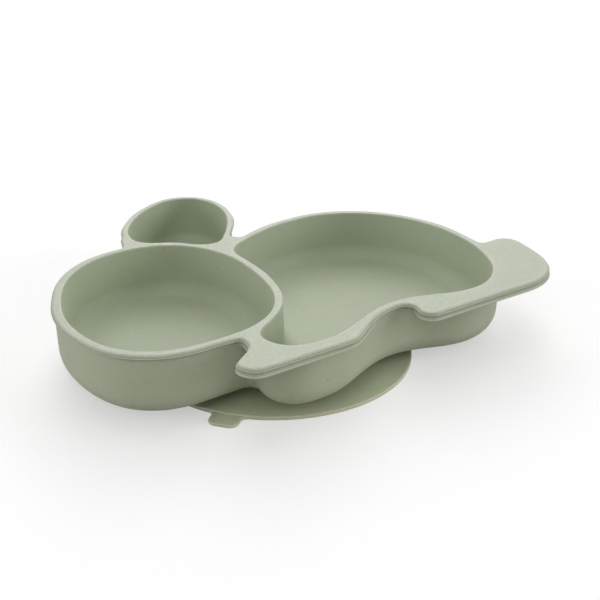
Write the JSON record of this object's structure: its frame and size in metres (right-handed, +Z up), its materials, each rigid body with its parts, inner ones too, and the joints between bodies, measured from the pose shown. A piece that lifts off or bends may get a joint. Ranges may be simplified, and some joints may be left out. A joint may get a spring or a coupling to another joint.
{
  "type": "suction bowl",
  "caption": "Child's silicone feeding plate shaped like a sitting rabbit, with separate bowl compartments, on a round suction disc with a lift tab.",
  "frame": {"origin": "centre of the suction disc, on the surface that it stands on", "axes": "+Z up; +X along the straight sole edge, from the front paw towards the rear foot; +Y towards the ear"},
  "size_m": [0.2355, 0.2177, 0.0357],
  "materials": {
    "tray_silicone": "matte",
    "disc_silicone": "matte"
  },
  "bodies": {
    "suction_disc": {"suction_disc": "disc_silicone"},
    "tray": {"tray": "tray_silicone"},
    "release_tab": {"release_tab": "disc_silicone"}
  },
  "joints": [
    {"name": "tray_turn", "type": "hinge", "parent": "suction_disc", "child": "tray", "pos_m": [0, 0, 0], "axis": [0, 0, 1], "continuous": true},
    {"name": "tab_lift", "type": "hinge", "parent": "suction_disc", "child": "release_tab", "pos_m": [-0.05293, -0.04165, 0.00075], "axis": [-0.6184, 0.7859, 0], "range_deg": [0, 75], "stiffness_Nm_per_rad": 0.0004}
  ]
}
